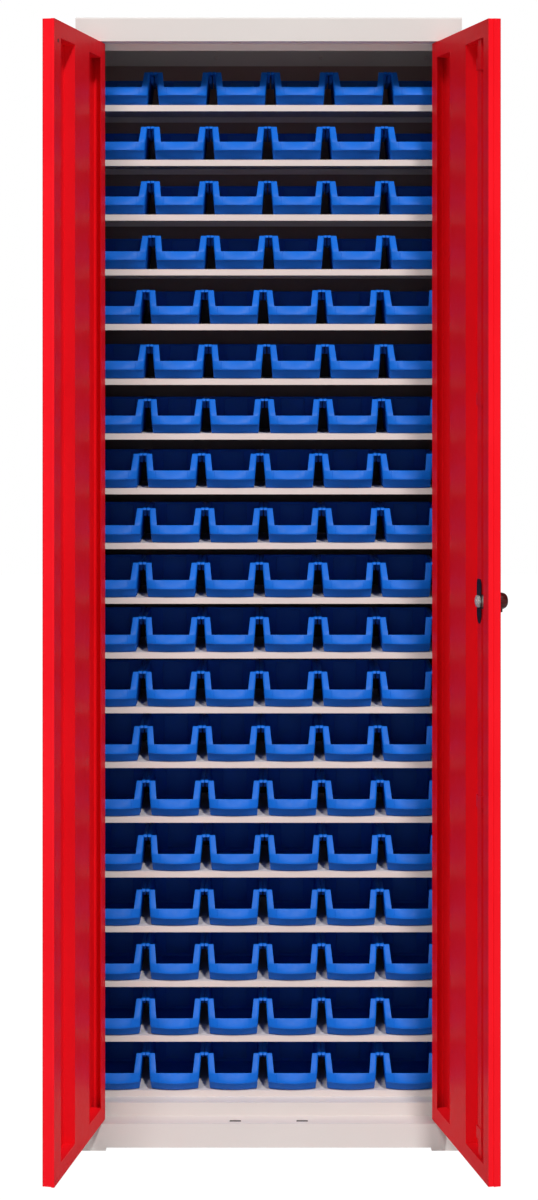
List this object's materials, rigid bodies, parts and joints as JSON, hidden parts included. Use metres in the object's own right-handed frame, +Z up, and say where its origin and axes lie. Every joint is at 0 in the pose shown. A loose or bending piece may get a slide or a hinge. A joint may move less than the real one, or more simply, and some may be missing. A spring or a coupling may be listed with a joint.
{
  "type": "small parts storage cabinet",
  "caption": "Tall steel cabinet with two inset doors, shelves and rows of open-fronted plastic bins, and a two-point rod lock.",
  "frame": {"origin": "centre of the carcass's footprint, on the floor", "axes": "+Z up, the doors face -Y, +X to the right as seen from the front"},
  "size_m": [0.7682, 0.5758, 1.994],
  "materials": {
    "grey_paint": "light grey powder coat, satin",
    "red_paint": "signal red powder coat, satin",
    "bin_plastic": "moulded blue polypropylene, satin",
    "bright_steel": "zinc plated",
    "dark_steel": "blackened steel",
    "knob_plastic": "dark brown moulded plastic"
  },
  "bodies": {
    "carcass": {"left_side_panel": "grey_paint", "right_side_panel": "grey_paint", "back_panel": "grey_paint", "top_panel": "grey_paint", "base_pan": "grey_paint", "base_frame": "grey_paint", "shelf_rails": "grey_paint", "hinge_pins": "bright_steel", "shelf_01": "grey_paint", "shelf_02": "grey_paint", "shelf_03": "grey_paint", "shelf_04": "grey_paint", "shelf_05": "grey_paint", "shelf_06": "grey_paint", "shelf_07": "grey_paint", "shelf_08": "grey_paint", "shelf_09": "grey_paint", "shelf_10": "grey_paint", "shelf_11": "grey_paint", "shelf_12": "grey_paint", "shelf_13": "grey_paint", "shelf_14": "grey_paint", "shelf_15": "grey_paint", "shelf_16": "grey_paint", "shelf_17": "grey_paint", "shelf_18": "grey_paint", "shelf_19": "grey_paint", "left_column_bins": "bin_plastic", "right_column_bins": "bin_plastic"},
    "left_door": {"left_door_panel": "red_paint", "left_door_stiffener": "red_paint"},
    "right_door": {"right_door_panel": "red_paint", "right_door_stiffener": "red_paint", "lock_body_and_guides": "dark_steel"},
    "lock_spindle": {"lock_handle": "knob_plastic", "lock_cam": "dark_steel", "lock_nut": "bright_steel"},
    "upper_rod": {"upper_lock_rod": "red_paint"},
    "lower_rod": {"lower_lock_rod": "red_paint"},
    "bins_01": {"bins_row_01": "bin_plastic"},
    "bins_02": {"bins_row_02": "bin_plastic"},
    "bins_03": {"bins_row_03": "bin_plastic"},
    "bins_04": {"bins_row_04": "bin_plastic"},
    "bins_05": {"bins_row_05": "bin_plastic"},
    "bins_06": {"bins_row_06": "bin_plastic"},
    "bins_07": {"bins_row_07": "bin_plastic"},
    "bins_08": {"bins_row_08": "bin_plastic"},
    "bins_09": {"bins_row_09": "bin_plastic"},
    "bins_10": {"bins_row_10": "bin_plastic"},
    "bins_11": {"bins_row_11": "bin_plastic"},
    "bins_12": {"bins_row_12": "bin_plastic"},
    "bins_13": {"bins_row_13": "bin_plastic"},
    "bins_14": {"bins_row_14": "bin_plastic"},
    "bins_15": {"bins_row_15": "bin_plastic"},
    "bins_16": {"bins_row_16": "bin_plastic"},
    "bins_17": {"bins_row_17": "bin_plastic"},
    "bins_18": {"bins_row_18": "bin_plastic"},
    "bins_19": {"bins_row_19": "bin_plastic"}
  },
  "joints": [
    {"name": "left_door_hinge", "type": "hinge", "parent": "carcass", "child": "left_door", "pos_m": [-0.3027, -0.1335, 0], "axis": [0, 0, -1], "range_deg": [-100.9, 10]},
    {"name": "right_door_hinge", "type": "hinge", "parent": "carcass", "child": "right_door", "pos_m": [0.3027, -0.1335, 0], "axis": [0, 0, 1], "range_deg": [-102.7, 8]},
    {"name": "lock_turn", "type": "hinge", "parent": "right_door", "child": "lock_spindle", "pos_m": [0.36506, -0.36926, 0.995], "axis": [-0.9755, -0.2198, 0], "range_deg": [0, 90]},
    {"name": "upper_rod_slide", "type": "slide", "parent": "right_door", "child": "upper_rod", "axis": [0, 0, 1], "range_m": [0, 0.014]},
    {"name": "lower_rod_slide", "type": "slide", "parent": "right_door", "child": "lower_rod", "axis": [0, 0, -1], "range_m": [0, 0.014]},
    {"name": "bins_01_slide", "type": "slide", "parent": "carcass", "child": "bins_01", "axis": [0, -1, 0], "range_m": [0, 0.15]},
    {"name": "bins_02_slide", "type": "slide", "parent": "carcass", "child": "bins_02", "axis": [0, -1, 0], "range_m": [0, 0.15]},
    {"name": "bins_03_slide", "type": "slide", "parent": "carcass", "child": "bins_03", "axis": [0, -1, 0], "range_m": [0, 0.15]},
    {"name": "bins_04_slide", "type": "slide", "parent": "carcass", "child": "bins_04", "axis": [0, -1, 0], "range_m": [0, 0.15]},
    {"name": "bins_05_slide", "type": "slide", "parent": "carcass", "child": "bins_05", "axis": [0, -1, 0], "range_m": [0, 0.15]},
    {"name": "bins_06_slide", "type": "slide", "parent": "carcass", "child": "bins_06", "axis": [0, -1, 0], "range_m": [0, 0.15]},
    {"name": "bins_07_slide", "type": "slide", "parent": "carcass", "child": "bins_07", "axis": [0, -1, 0], "range_m": [0, 0.15]},
    {"name": "bins_08_slide", "type": "slide", "parent": "carcass", "child": "bins_08", "axis": [0, -1, 0], "range_m": [0, 0.15]},
    {"name": "bins_09_slide", "type": "slide", "parent": "carcass", "child": "bins_09", "axis": [0, -1, 0], "range_m": [0, 0.15]},
    {"name": "bins_10_slide", "type": "slide", "parent": "carcass", "child": "bins_10", "axis": [0, -1, 0], "range_m": [0, 0.15]},
    {"name": "bins_11_slide", "type": "slide", "parent": "carcass", "child": "bins_11", "axis": [0, -1, 0], "range_m": [0, 0.15]},
    {"name": "bins_12_slide", "type": "slide", "parent": "carcass", "child": "bins_12", "axis": [0, -1, 0], "range_m": [0, 0.15]},
    {"name": "bins_13_slide", "type": "slide", "parent": "carcass", "child": "bins_13", "axis": [0, -1, 0], "range_m": [0, 0.15]},
    {"name": "bins_14_slide", "type": "slide", "parent": "carcass", "child": "bins_14", "axis": [0, -1, 0], "range_m": [0, 0.15]},
    {"name": "bins_15_slide", "type": "slide", "parent": "carcass", "child": "bins_15", "axis": [0, -1, 0], "range_m": [0, 0.15]},
    {"name": "bins_16_slide", "type": "slide", "parent": "carcass", "child": "bins_16", "axis": [0, -1, 0], "range_m": [0, 0.15]},
    {"name": "bins_17_slide", "type": "slide", "parent": "carcass", "child": "bins_17", "axis": [0, -1, 0], "range_m": [0, 0.15]},
    {"name": "bins_18_slide", "type": "slide", "parent": "carcass", "child": "bins_18", "axis": [0, -1, 0], "range_m": [0, 0.15]},
    {"name": "bins_19_slide", "type": "slide", "parent": "carcass", "child": "bins_19", "axis": [0, -1, 0], "range_m": [0, 0.15]}
  ],
  "couplings": [
    {"joint": "lock_turn", "follows": "upper_rod_slide", "rad_per_m": 112.19},
    {"joint": "lower_rod_slide", "follows": "upper_rod_slide", "ratio": 1}
  ]
}
